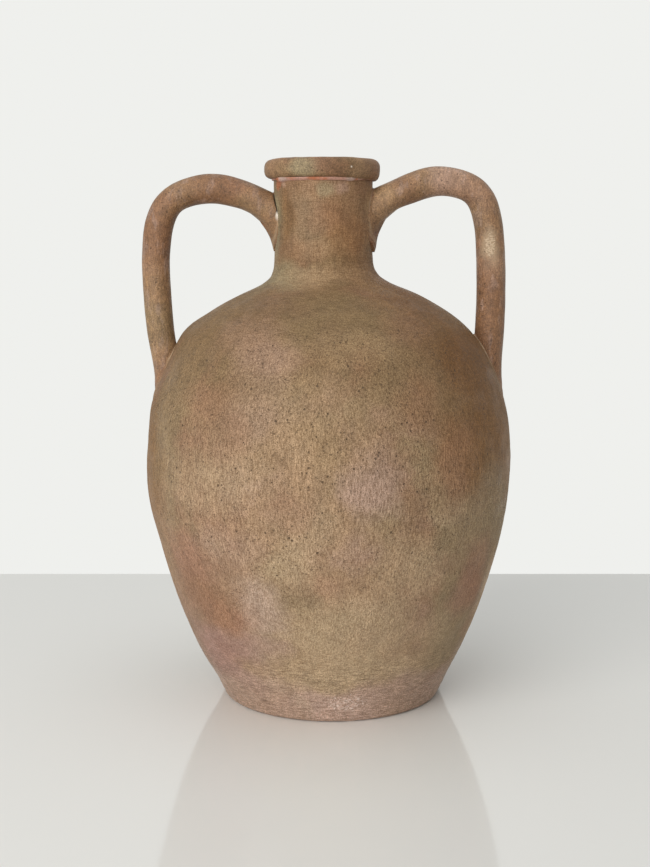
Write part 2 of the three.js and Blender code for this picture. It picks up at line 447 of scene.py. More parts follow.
def handle_path(side):
    """The CAD handle's middle line, from the neck down: (x, height, half depth, half width)."""
    tree = tree_of("handle_" + side)
    hub = Vector(opening(side + "_handle_gap"))
    away = math.copysign(1, hub.x)
    middle = []
    for angle in np.radians(np.linspace(124, -50, 30)):
        ray = Vector((away * math.cos(angle), 0, math.sin(angle)))
        inner = tree.ray_cast(hub, ray)[0]
        outer = tree.ray_cast(hub + 0.3 * ray, -ray)[0]
        middle.append((inner + outer) / 2)
    middle = np.array(middle)
    for _ in range(4):
        along = unit(np.gradient(middle, axis=0))
        square = away * np.stack([-along[:, 2], 0 * along[:, 0], along[:, 0]], axis=1)
        outer = np.array([tree.ray_cast(Vector(m), Vector(q))[0] for m, q in zip(middle, square)])
        inner = np.array([tree.ray_cast(Vector(m), Vector(-q))[0] for m, q in zip(middle, square)])
        middle = (outer + inner) / 2
    depth = np.linalg.norm(outer - inner, axis=1) / 2
    width = np.array([tree.ray_cast(Vector(m), Vector((0, 1, 0)))[3] for m in middle])
    path = np.stack([middle[:, 0], middle[:, 2], depth, width], axis=1)
    smoothed = path.copy()
    smoothed[1:-1] = (path[:-2] + 2 * path[1:-1] + path[2:]) / 4
    bend = np.argmax(abs(along[:, 2]) > abs(along[:, 0])) - 1
    walked = np.append(0, np.cumsum(np.linalg.norm(np.diff(smoothed[:, :2], axis=0), axis=1)))
    on_leg = smoothstep(-40 * MM, -15 * MM, walked - walked[bend])
    smoothed[:, 2:] += (FULLER - LEG_THINNER * on_leg)[:, None]
    from_bend = np.linalg.norm(smoothed[:, :2] - smoothed[bend, :2], axis=1)
    from_root = np.linalg.norm(smoothed[:, :2] - smoothed[0, :2], axis=1)
    bent = np.exp(-((from_bend / BEND_REACH) ** 2))
    pinched = ROOT_PINCH[side] * np.exp(-((from_root / ROOT_REACH) ** 2))
    outwards = BEND_OUT * bent + pinched
    smoothed[:, 0] += outwards * square[:, 0]
    smoothed[:, 1] += outwards * square[:, 2]
    smoothed[:, 2] -= BEND_THINNER * bent + pinched
    return np.vstack([root_of(smoothed), smoothed, tail_of(smoothed, tree, away)])


def root_of(path):
    """The handle carried on into the neck, thickening as it goes in."""
    back = unit(path[0, :2] - path[1, :2])
    out = []
    for reach in (27 * MM, 18 * MM, 9 * MM):
        grow = 5 * MM * (reach / (22.8 * MM)) ** 1.4
        droop = np.array([0, -0.1 * reach])
        place = path[0, :2] + reach * back + droop
        out.append([*place, path[0, 2] + grow, path[0, 3] + 0.5 * grow])
    return np.array(out)


def tail_of(path, tree, away):
    """The handle's lower end, whose inner side is already in the shoulder."""
    depth, width = path[-1, 2:]
    height = path[-1, 1]
    out = []
    for _ in range(5):
        height -= 8 * MM
        depth *= 0.985
        edge = tree.ray_cast(Vector((away * 0.3, 0, height)), Vector((-away, 0, 0)))[0]
        out.append([edge.x - away * depth, height, depth, width])
    for _ in range(2):
        height -= 11 * MM
        depth *= 0.88
        width *= 0.88
        out.append([out[-1][0], height, depth, width])
    return np.array(out)


CRACK_DEPTH = 1.3 * MM
HANDLE_COLUMNS = 96
HANDLE_RINGS = 300
TURN = np.arange(HANDLE_COLUMNS) / HANDLE_COLUMNS * math.tau  # round the rod from its outer side


def handle_surface(path):
    """Points on the handle's surface, row by row along it, and the direction out of each."""
    away = math.copysign(1, path[:, 0].mean())
    along = unit(np.gradient(path[:, :2], axis=0))
    square = away * np.stack([-along[:, 1], along[:, 0]], axis=1)
    deep = path[:, 2, None] * np.cos(TURN)
    wide = path[:, 3, None] * np.sin(TURN)
    x = path[:, 0, None] + square[:, 0, None] * deep
    z = path[:, 1, None] + square[:, 1, None] * deep
    out_x, out_z = (square[:, k, None] * np.cos(TURN) for k in (0, 1))
    out = np.stack([out_x, np.sin(TURN) + 0 * deep, out_z], axis=-1)
    return np.stack([x, wide, z], axis=-1), out


def at_row(grid, row):
    """Values of a grid at a fractional row of each column."""
    low = np.clip(np.floor(row).astype(int), 0, len(grid) - 2)
    share = (row - low)[..., None]
    column = np.arange(grid.shape[1])
    return grid[low, column] * (1 - share) + grid[low + 1, column] * share


def joint_rows(points, depth):
    """For each column, the fractional rows where the handle goes under the wall at its two ends."""
    stands = clearance(points) + depth
    first = np.argmax(stands > 0, axis=0)
    last = len(stands) - 1 - np.argmax(stands[::-1] > 0, axis=0)
    column = np.arange(stands.shape[1])
    start = first - stands[first, column] / (stands[first, column] - stands[first - 1, column])
    end = last + stands[last, column] / (stands[last, column] - stands[last + 1, column])
    return start, end


def handle_marks(points, seed):
    """How far squeezing and smoothing by hand moved the handle's surface."""
    marks = 0.28 * MM * lumps(points, 36 * MM, 20 + seed)
    return marks + 0.11 * MM * lumps(points, 12 * MM, 22 + seed)


def crack(side):
    """How open the crack at the left handle's neck joint is round the rod, 0 to 1."""
    if side == "right":
        return 0 * TURN
    return np.exp(-(((np.degrees(TURN) - 304) / 32) ** 2))


def handle_piece(side, path, material):
    """A handle as one fine rod whose ends follow the wall that they are luted to."""
    points, out = handle_surface(path)
    start, end = joint_rows(points, SUNK)
    share = np.linspace(0, 1, HANDLE_RINGS)[:, None]
    rows = start + (end - start) * share
    rod = np.array([at_row(points, row) for row in rows])
    direction = np.array([at_row(out, row) for row in rows])
    marks = handle_marks(rod.reshape(-1, 3), len(side)).reshape(rows.shape)
    walked = rows - start  # in rows, which are about a millimetre apart
    marks -= CRACK_DEPTH * crack(side) * np.exp(-walked / 1.8)
    rod = (rod + direction * marks[..., None]).reshape(-1, 3)
    faces = wound(HANDLE_RINGS, HANDLE_COLUMNS, False)
    faces += fans(len(rod), HANDLE_COLUMNS)
    caps = [rod[:HANDLE_COLUMNS].mean(axis=0), rod[-HANDLE_COLUMNS:].mean(axis=0)]
    made = new_object("handle_" + side + "_rod", np.vstack([rod, *caps]), faces, material)
    store(made, "cracked", np.append(crack(side) * np.exp(-walked / 1.2), [0, 0]))
    stand_for(made, "handle_clay", "handle_" + side)


# ---- the slip that holds the handles on


def on_wall(points):
    """Points moved level to the wall's surface."""
    x, y, z = (points[..., k] for k in range(3))
    centre = wall_centre(z)
    scale = wall_radius(z) / np.hypot(x - centre, y)
    return np.stack([centre + (x - centre) * scale, y * scale, z], axis=-1)


LEDGE = {"left": 0.8 * MM, "right": 2.1 * MM}  # the step where the slip under a handle's root stops


def luting_piece(side, end, path, along_handle, along_wall, fullness, material):
    """Slip smoothed into the corner between a handle and the wall, all the way round the joint.

    Each setting is given for the outer side, the two flanks and the inner side of the handle.
    along_handle and along_wall say how far the slip spreads, and fullness how far the corner is
    filled: 0 is hollow and 1 is flat.
    """
    node = f"handle_{side}_{end}_luting"
    seed = {"neck": 61, "shoulder": 62}[end]
    points, out = handle_surface(path)
    start, finish = joint_rows(points, 0)
    corner_row, step = (start, 1) if end == "neck" else (finish, -1)
    corner = at_row(points, corner_row)
    out_there = at_row(out, corner_row)
    ragged = 1 + 0.22 * lumps(corner, 9 * MM, seed) + 0.1 * lumps(corner, 3.5 * MM, seed)
    cracked = crack(side) if end == "neck" else 0 * TURN
    ragged *= 1 - 0.8 * cracked

    def around(settings):
        outer, flank, inner = settings
        ends = np.where(np.cos(TURN) > 0, outer, inner)
        return flank + (ends - flank) * np.cos(TURN) ** 2

    on_rod_row = corner_row + step * around(along_handle) * ragged / MM
    rod = at_row(points, on_rod_row)
    out_rod = at_row(out, on_rod_row)
    rod_marks = handle_marks(rod, len(side)) - CRACK_DEPTH * cracked
    rod = rod + out_rod * rod_marks[:, None]
    beside = unit(corner - corner.mean(axis=0))
    wall = on_wall(corner + beside * (around(along_wall) * ragged)[:, None])
    outward = unit(wall - np.stack([wall_centre(wall[:, 2]), 0 * wall[:, 0], wall[:, 2]], axis=1))
    wall = wall + outward * wall_marks(wall)[:, None]
    handle = corner + around(fullness)[:, None] * ((rod + wall) / 2 - corner)
    ledge = LEDGE[side] * smoothstep(0.75, 0.95, -np.cos(TURN)) if end == "neck" else 0
    rows, across = [], []
    for share in np.linspace(0, 1, 19):
        bend = (1 - share) ** 2 * rod + 2 * share * (1 - share) * handle + share**2 * wall
        face = unit((1 - share) * out_rod + share * outward)
        rise = math.sin(math.pi * share)
        rough = 0.16 * MM * lumps(bend, 6 * MM, seed) + 0.3 * MM * rise - 0.9 * MM * cracked * rise
        rough = rough - 0.3 * MM * (1 - rise) ** 3 + ledge * smoothstep(0.4, 1, share)
        rows.append(bend + face * rough[:, None])
        across.append(share)
    rows.append(wall - outward * 1.2 * MM)
    rows.append(corner - outward * 1.5 * MM - out_there * 1.2 * MM)
    rows.append(rod - out_rod * 1.2 * MM)
    across += [1, 0.5, 0]
    faces = wound(len(rows), HANDLE_COLUMNS, True)
    made = new_object(node + "_slip", np.vstack(rows), faces, material)
    store(made, "across", np.repeat(across, HANDLE_COLUMNS))
    store(made, "cracked", np.tile(cracked, len(rows)))
    stand_for(made, "slip", node)


# ---- material helpers


class Graph:
    """A node material, built one call at a time. Every call gives back the new node's output."""

    def __init__(self, name):
        self.material = bpy.data.materials.new(name)
        self.material.use_nodes = True
        self.tree = self.material.node_tree
        self.tree.nodes.clear()
        self.shader = self.tree.nodes.new("ShaderNodeBsdfPrincipled")
        output = self.tree.nodes.new("ShaderNodeOutputMaterial")
        self.tree.links.new(self.shader.outputs[0], output.inputs[0])
        self.place = self.add("TexCoord", output="Object")

    def add(self, kind, inputs=(), output=0, **settings):
        made = self.tree.nodes.new("ShaderNode" + kind)
        for key, value in settings.items():
            setattr(made, key, value)
        for key, value in dict(inputs).items():
            self.set(made.inputs[key], value)
        return made.outputs[output]

    def set(self, socket, value):
        if isinstance(value, bpy.types.NodeSocket):
            self.tree.links.new(value, socket)
        else:
            socket.default_value = (*value, 1) if socket.type == "RGBA" else value

    def maths(self, operation, a, b, c=0.0):
        return self.add("Math", {0: a, 1: b, 2: c}, operation=operation)

    def times(self, a, b):
        return self.maths("MULTIPLY", a, b)

    def summed(self, *layers):
        """The sum of values, each given with its weight."""
        total = 0.0
        for value, weight in layers:
            total = self.maths("MULTIPLY_ADD", value, weight, total)
        return total

    def scaled(self, by):
        return self.add("VectorMath", {0: self.place, 1: by}, operation="MULTIPLY")

    def noise(self, size, detail, rough, shift, place=None):
        """Noise, 0 to 1, whose lumps are about size metres across."""
        moved = self.add("VectorMath", {0: place or self.place, 1: (shift, shift / 3, shift / 7)})
        inputs = {"Vector": moved, "Scale": 1 / size, "Detail": detail, "Roughness": rough}
        return self.add("TexNoise", inputs)

    def warped(self, lump, reach):
        """The place moved about by noise, to break up the edges of paint."""
        inputs = {"Vector": self.place, "Scale": 1 / lump, "Detail": 4}
        drift = self.add("TexNoise", inputs, output=1)
        drift = self.add("VectorMath", {0: drift, 1: (-0.5, -0.5, -0.5)})
        inputs = {0: drift, 1: (reach, reach, reach), 2: self.place}
        return self.add("VectorMath", inputs, operation="MULTIPLY_ADD")

    def pits(self, spacing, small, large, crowd, shift):
        """A pit in each cell, its radius a share of the cell: the dark middles, and the hollows."""
        moved = self.add("VectorMath", {0: self.place, 1: (shift, 0, 0)})
        cell = self.add("TexVoronoi", {"Vector": moved, "Scale": 1 / spacing})
        radius = self.step(self.noise(spacing * 0.9, 0, 0.5, shift), 0.35, 0.7, small, large)
        outside = self.maths("SUBTRACT", cell, self.times(radius, crowd))
        return self.step(outside, 0, -0.05), self.step(outside, 0.05, -0.05)

    def away(self, middle, half, place):
        """How far a place is from the middle of a dab, in half sizes of the dab."""
        apart = self.add("VectorMath", {0: place, 1: middle}, operation="SUBTRACT")
        apart = self.add("VectorMath", {0: apart, 1: [1 / size for size in half]}, operation="MULTIPLY")
        return self.add("VectorMath", {0: apart}, output=1, operation="LENGTH")

    def step(self, value, low, high, to_low=0.0, to_high=1.0):
        """A soft step up from to_low to to_high as a value goes from low to high."""
        inputs = {0: value, 1: low, 2: high, 3: to_low, 4: to_high}
        return self.add("MapRange", inputs, interpolation_type="SMOOTHSTEP")

    def mix(self, share, a, b, blend="MIX"):
        inputs = {0: share, 6: a, 7: b}
        return self.add("Mix", inputs, output=2, data_type="RGBA", blend_type=blend)

    def shade(self, colour, *factors):
        """A colour made lighter or darker by factors near 1."""
        for factor in factors:
            colour = self.add("VectorMath", {0: colour, "Scale": factor}, operation="SCALE")
        return colour

    def finish(self, colour, roughness, height, bump, gloss=0.4):
        self.set(self.shader.inputs["Base Color"], colour)
        self.set(self.shader.inputs["Roughness"], roughness)
        self.shader.inputs["Specular IOR Level"].default_value = gloss
        inputs = {"Height": height, "Distance": bump, "Strength": 1.0}
        self.set(self.shader.inputs["Normal"], self.add("Bump", inputs))
        return self.material


# Clay and paint colours, as linear RGB.
TAN = (0.335, 0.216, 0.13)
OLIVE = (0.285, 0.202, 0.115)
GOLD = (0.365, 0.24, 0.138)
RED_BROWN = (0.305, 0.175, 0.11)
DARK_BROWN = (0.195, 0.108, 0.058)
DARK_OLIVE = (0.245, 0.17, 0.1)
UMBER_AND_SHADE = (0.215, 0.113, 0.042)
SIENNA = (0.3, 0.162, 0.088)
RUST = (0.265, 0.15, 0.088)
RED_EARTH = (0.32, 0.17, 0.108)
MOSS = (0.275, 0.215, 0.118)
STONE = (0.32, 0.245, 0.17)
AMBER = (0.39, 0.212, 0.105)
SAND = (0.42, 0.31, 0.195)
PALE_MOSS = (0.37, 0.33, 0.225)
WORN_PINK = (0.715, 0.52, 0.465)
PAINTED_GLARE = (0.64, 0.48, 0.32)
LILAC = (0.395, 0.265, 0.205)
PALE_LILAC = (0.43, 0.305, 0.235)
MAUVE = (0.35, 0.215, 0.172)
ROSE = (0.315, 0.18, 0.14)
PINK = (0.4, 0.272, 0.205)
PALE_PINK = (0.52, 0.37, 0.315)
ORANGE = (0.37, 0.225, 0.14)
GREY_GREEN = (0.33, 0.255, 0.16)
PAINTED_GLINT = (0.85, 0.7, 0.62)
CREAM = (0.5, 0.37, 0.24)
PALE_LINE_AND_HIGHLIGHT = (0.6, 0.47, 0.33)
BARE_PINK = (0.59, 0.33, 0.255)
BARE_RED = (0.56, 0.2, 0.1)
PALE_TAN = (0.47, 0.33, 0.21)
PIT = (0.085, 0.05, 0.028)
CRACK_SHADE = (0.03, 0.019, 0.01)
CHALK_AND_HIGHLIGHT = (0.95, 0.86, 0.74)
SHOULDER_PAINT_AND_SHADE = (0.725, 0.645, 0.555)  # what the colour from the shoulder up is multiplied by: partly browner paint, partly painted shade for the weaker light up there
NECK_PAINT_AND_SHADE = (0.77, 0.705, 0.615)
HANDLE_TINT = (0.93, 0.82, 0.68)
RIM_TINT = (0.87, 0.83, 0.725)
SLIP_TINT = (0.8, 0.7, 0.57)
DEEPENED = (1, 0.93, 0.84)  # and what the darker grains are multiplied by
WHITE = (1, 1, 1)

# Where the wall's paint leans to one colour: degrees round from the front, height, half width and half
# height in mm, strength and colour. Some umber patches on the right side and at the far left edge are
# partly painted shade, where the wall turns from the light.
WALL_PATCHES = (
    (-25, 345, 22, 22, 0.5, STONE),
    (-26, 322, 20, 12, 0.5, RED_BROWN),
    (28, 335, 18, 24, 0.6, AMBER),
    (-82, 346, 17, 34, 1.0, PALE_MOSS),
    (-52, 345, 12, 22, 0.6, UMBER_AND_SHADE),
    (8, 346, 16, 12, 0.4, RED_BROWN),
    (-12, 325, 14, 9, 0.4, PALE_TAN),
    (76, 354, 12, 10, 0.9, PALE_TAN),
    (-54, 303, 40, 12, 0.7, PALE_MOSS),
    (8, 304, 38, 9, 0.6, PALE_TAN),
    (50, 306, 34, 12, 0.3, UMBER_AND_SHADE),
    (56, 286, 34, 22, 0.6, UMBER_AND_SHADE),
    (4, 276, 56, 26, 0.7, MOSS),
    (-30, 284, 38, 18, 0.65, DARK_OLIVE),
    (0, 290, 26, 10, 0.4, MOSS),
    (0, 268, 16, 16, 0.5, DARK_OLIVE),
    (35, 272, 26, 16, 0.4, RED_BROWN),
    (-36, 266, 26, 16, 0.4, LILAC),
    (10, 260, 34, 14, 0.5, SAND),
    (-22, 252, 28, 20, 0.8, PALE_LILAC),
    # painted shade: umber over the shaded right side
    (60, 245, 50, 45, 0.95, UMBER_AND_SHADE),
    (-6, 226, 50, 20, 0.5, SAND),
    (-28, 188, 30, 26, 0.4, SAND),
    (-40, 166, 30, 18, 0.3, SAND),
    (38, 153, 20, 10, 0.6, SAND),
    (-37, 226, 22, 18, 0.5, RED_BROWN),
    (-23, 218, 26, 22, 0.5, PINK),
    (28, 222, 22, 24, 0.5, SIENNA),
    (-62, 208, 26, 40, 0.4, OLIVE),
    (-32, 204, 24, 20, 0.5, RED_BROWN),
    (0, 198, 50, 26, 0.5, GOLD),
    # painted shade: umber over the shaded right side
    (53, 198, 46, 36, 1.0, UMBER_AND_SHADE),
    (-70, 165, 28, 45, 0.5, UMBER_AND_SHADE),
    # painted shade: umber at the far left edge, which the light reaches less
    (-76, 190, 26, 55, 0.6, UMBER_AND_SHADE),
    (40, 182, 26, 34, 0.8, SIENNA),
    (50, 188, 22, 20, 0.6, UMBER_AND_SHADE),
    (12, 171, 22, 28, 0.8, LILAC),
    (-8, 143, 22, 16, 0.4, SAND),
    (-10, 200, 16, 14, 0.4, PALE_TAN),
    (60, 172, 24, 18, 0.6, DARK_OLIVE),
    (49, 170, 14, 14, 0.5, UMBER_AND_SHADE),
    (-12, 155, 14, 13, 0.5, RED_BROWN),
    (-44, 226, 22, 16, 0.4, ORANGE),
    # painted shade: umber at the shaded right edge
    (74, 208, 20, 28, 0.8, UMBER_AND_SHADE),
    (24, 162, 12, 18, 0.6, RUST),
    (63, 150, 28, 30, 0.5, OLIVE),
    (26, 140, 18, 16, 0.5, SIENNA),
    (-33, 125, 30, 20, 0.3, LILAC),
    (26, 122, 28, 16, 0.4, PALE_TAN),
    (28, 106, 24, 14, 0.4, PALE_TAN),
    (78, 80, 20, 70, 1.0, PALE_TAN),
    (61, 90, 14, 26, 0.5, UMBER_AND_SHADE),
    (-50, 96, 26, 24, 0.9, RUST),
    (58, 110, 24, 24, 0.6, RED_EARTH),
    (-50, 114, 30, 26, 0.75, RED_EARTH),
    (-38, 103, 34, 18, 0.6, RED_BROWN),
    (-12, 120, 22, 18, 0.6, SAND),
    (-8.5, 94, 17, 11, 0.5, DARK_OLIVE),
    (1, 104, 12, 10, 0.7, ORANGE),
    (12, 95, 14, 12, 0.6, PALE_TAN),
    (-24, 86, 22, 26, 0.8, PALE_LILAC),
    (-12, 66, 18, 14, 0.6, PALE_TAN),
    (56, 88, 24, 20, 0.7, RED_EARTH),
    (40, 66, 24, 20, 0.4, SAND),
    (25, 86, 18, 14, 0.3, GREY_GREEN),
    (-42, 80, 34, 18, 0.9, RED_EARTH),
    (-46, 88, 24, 20, 0.25, UMBER_AND_SHADE),
    (-44, 60, 22, 14, 0.5, RUST),
    (-60, 85, 30, 32, 0.5, RED_BROWN),
    (8, 70, 45, 30, 0.7, SAND),
    (-38, 60, 30, 14, 0.8, MAUVE),
    (-24, 55, 20, 14, 0.6, LILAC),
    (-50, 45, 30, 24, 0.9, ROSE),
    (-62, 40, 34, 40, 0.6, MAUVE),
    (50, 45, 22, 24, 0.5, OLIVE),
    (10, 36, 66, 22, 0.8, SAND),
    (-32, 28, 28, 12, 0.5, PALE_LILAC),
    (-42, 26, 22, 14, 0.5, MAUVE),
    (35, 27, 26, 14, 0.7, LILAC),
    (4, 10, 44, 15, 1.0, WORN_PINK),
    (-14, 12, 10, 13, 0.7, PALE_MOSS),
    (53, 19, 22, 15, 0.75, RUST),
    (110, 190, 50, 40, 0.6, LILAC),
    (150, 120, 45, 34, 0.5, RED_BROWN),
    (180, 210, 40, 34, 0.6, UMBER_AND_SHADE),
    (180, 280, 50, 24, 0.6, MOSS),
    (205, 150, 38, 40, 0.6, LILAC),
    (180, 70, 45, 30, 0.6, PALE_TAN),
    (235, 90, 44, 30, 0.5, MAUVE),
    (130, 60, 44, 30, 0.5, OLIVE),
    (250, 230, 36, 30, 0.6, SIENNA),
)

# The same along the handles: side, share of the way from the neck to the shoulder, half length in mm,
# strength and colour.
HANDLE_PATCHES = (
    ("right", 0.09, 18, 0.9, PALE_TAN),
    ("right", 0.18, 16, 0.6, RUST),
    ("right", 0.28, 20, 0.85, PALE_PINK),
    ("right", 0.36, 20, 0.7, PINK),
    ("right", 0.44, 14, 0.6, OLIVE),
    ("right", 0.58, 14, 0.5, PALE_LILAC),
    ("right", 0.68, 30, 0.9, RUST),
    ("right", 0.84, 34, 0.9, RUST),
    ("left", 0.12, 16, 0.5, GREY_GREEN),
    ("left", 0.26, 22, 0.9, RUST),
    ("left", 0.34, 14, 0.4, OLIVE),
    ("left", 0.47, 26, 0.8, RUST),
    ("left", 0.60, 18, 0.6, GOLD),
    ("left", 0.74, 24, 0.7, GREY_GREEN),
    ("left", 0.82, 18, 0.5, PALE_TAN),
)

# And round the rim: degrees round from the front, half length in mm, strength and colour.
RIM_PATCHES = (
    (-22, 11, 0.6, PALE_MOSS),
    (-62, 12, 0.6, ORANGE),
    (15, 14, 0.5, DARK_BROWN),
    (58, 16, 0.5, RED_BROWN),
    (150, 14, 0.7, GREY_GREEN),
    (215, 16, 0.6, RED_BROWN),
)

# Small marks at the top of the neck: degrees round from the front, height and half width in mm,
# strength and colour.
NECK_SPOTS = (
    (-64, 367, 5, 0.7, BARE_RED),
    (-53, 367.5, 3.5, 0.6, PALE_PINK),
    (2, 363.5, 7.5, 0.6, PALE_MOSS),
    (22, 364.5, 6, 0.5, PALE_PINK),
)

# Where a painted highlight sits on the slip at the left of the neck, and its half sizes.
SLIP_HIGHLIGHT_SPOT = ((-0.0362, -0.0107, 0.3464), (0.0020, 0.0045, 0.0048))

# Where the bead under the rim is paler or redder: degrees round from the front, half length in mm and
# colour.
BEAD_PATCHES = (
    (-62, 6, BARE_RED),
    (-49, 4, PALE_PINK),
    (31, 5, PALE_PINK),
)


def on_circle(degrees, radius, height):
    angle = math.radians(degrees)
    return (wall_centre(height) + radius * math.sin(angle), -radius * math.cos(angle), height)


def on_wall_at(degrees, height):
    return on_circle(degrees, wall_radius(height), height)


def dabbed(g, colour, place, half, strength, paint, warped):
    """A colour with a soft-edged dab of another paint, half metres from its middle to its edge."""
    return g.mix(g.step(g.away(place, half, warped), 1.25, 0.35, 0, strength), colour, paint)


def painted_glints(g, colour, place, half, size, rare, paint):
    """A colour with small bright glints painted in: painted highlights where smooth paint would catch
    the light.
    """
    near = g.step(g.away(place, half, g.place), 1.2, 0.2)
    shine = g.noise(size, 2, 0.6, 15, g.scaled((0.5, 0.5, 1)))
    shine = g.step(g.times(shine, near), rare, rare + 0.06)
    return g.mix(g.times(shine, 0.9), colour, paint)


def painted_clay():
    """The jar's wall: chalky paint in drifting earth colours, brushed, grainy and full of pits, with
    painted shade towards the top and sides and painted glints on the foot.
    """
    g = Graph("painted_clay")
    height = g.add("SeparateXYZ", {0: g.place}, output=2)
    warped = g.warped(0.033, 0.035)
    colour = g.mix(g.step(g.noise(0.11, 3, 0.55, 1), 0.42, 0.62), TAN, OLIVE)
    colour = g.mix(g.step(g.noise(0.05, 4, 0.6, 2), 0.5, 0.7, 0, 0.6), colour, RED_BROWN)
    colour = g.mix(g.step(g.noise(0.06, 4, 0.6, 3), 0.52, 0.72, 0, 0.5), colour, LILAC)
    colour = g.mix(g.step(g.noise(0.035, 4, 0.6, 11), 0.54, 0.7, 0, 0.4), colour, GOLD)
    for degrees, level, wide, high, strength, paint in WALL_PATCHES:
        half = (wide * MM, wide * MM, high * MM)
        colour = dabbed(g, colour, on_wall_at(degrees, level * MM), half, strength, paint, warped)
    finely = g.warped(0.005, 0.004)
    for degrees, level, wide, strength, paint in NECK_SPOTS:
        half = (wide * MM, wide * MM, 0.8 * wide * MM)
        colour = dabbed(g, colour, on_wall_at(degrees, level * MM), half, strength, paint, finely)
    foot = g.add("SeparateXYZ", {0: warped}, output=2)
    colour = g.mix(g.step(foot, 0.034, 0.016, 0, 0.8), colour, PINK)
    # Darker towards the shoulder and neck: partly browner paint, partly painted shade.
    paint_and_shade = g.mix(g.step(height, 0.16, 0.265), WHITE, SHOULDER_PAINT_AND_SHADE)
    paint_and_shade = g.mix(g.step(height, 0.285, 0.305), paint_and_shade, NECK_PAINT_AND_SHADE)
    colour = g.mix(1, colour, paint_and_shade, "MULTIPLY")

    mottle = g.noise(0.010, 5, 0.64, 4)
    strokes = g.noise(0.007, 3, 0.6, 12, g.scaled((1, 1, 0.16)))
    upright = g.noise(0.0009, 2, 0.7, 5, g.scaled((1, 1, 0.18)))
    level = g.noise(0.0009, 2, 0.7, 6, g.scaled((0.15, 0.15, 1)))
    wheel = g.maths("ADD", g.step(height, 0.075, 0.035, 0, 0.75), g.step(height, 0.24, 0.27, 0, 0.45))
    streak = g.add("Mix", {0: wheel, 2: upright, 3: level}, data_type="FLOAT")
    grain = g.noise(0.0008, 1, 0.8, 7)
    brushed = g.times(g.step(strokes, 0.3, 0.7, -0.07, 0.07), g.step(height, 0.29, 0.32, 1, 2))
    colour = g.shade(colour, g.step(mottle, 0.25, 0.75, 1.00, 1.20), g.maths("ADD", brushed, 1))
    fine = g.times(g.step(streak, 0.3, 0.7, 0.72, 1.27), g.step(grain, 0.3, 0.7, 0.72, 1.27))
    contrast = g.times(g.step(height, 0.26, 0.30, 1, 0.92), g.step(height, 0.10, 0.15, 0.86, 1))
    contrast = g.times(contrast, g.step(height, 0.035, 0.055, 1.4, 1))
    fine = g.maths("MULTIPLY_ADD", g.maths("SUBTRACT", fine, 1), contrast, 1)
    colour = g.shade(colour, fine)
    colour = g.mix(1, colour, g.mix(g.step(fine, 0.78, 1), DEEPENED, WHITE), "MULTIPLY")

    crowd = g.step(g.noise(0.03, 2, 0.5, 8), 0.32, 0.55)
    crowd = g.times(crowd, g.step(height, 0.07, 0.15, 0.35, 1))
    crowd = g.times(crowd, g.step(height, 0.25, 0.30, 1, 0.25))
    pit, hollow = g.pits(0.0042, -0.06, 0.20, crowd, 9)
    speck, dent = g.pits(0.0021, -0.08, 0.33, g.step(crowd, 0, 0.8, 0.4, 1), 13)
    colour = g.mix(g.times(pit, 0.8), colour, PIT)
    colour = g.mix(g.times(speck, 0.48), colour, PIT)
    # Painted highlight: bright glints painted on the front of the foot.
    painted_glint_place = on_wall_at(8, 0.016)
    colour = painted_glints(g, colour, painted_glint_place, (0.036, 0.036, 0.017), 0.0009, 0.54, PAINTED_GLINT)

    relief = g.summed((streak, 0.5), (grain, 0.65), (mottle, 0.8), (hollow, -0.9), (dent, -0.4))
    wet = g.step(g.noise(0.02, 3, 0.6, 10), 0.45, 0.65, 0.66, 0.54)
    rough = g.maths("SUBTRACT", wet, g.step(height, 0.06, 0.02, 0, 0.22))
    return g.finish(colour, rough, relief, 0.0007, gloss=0.3)


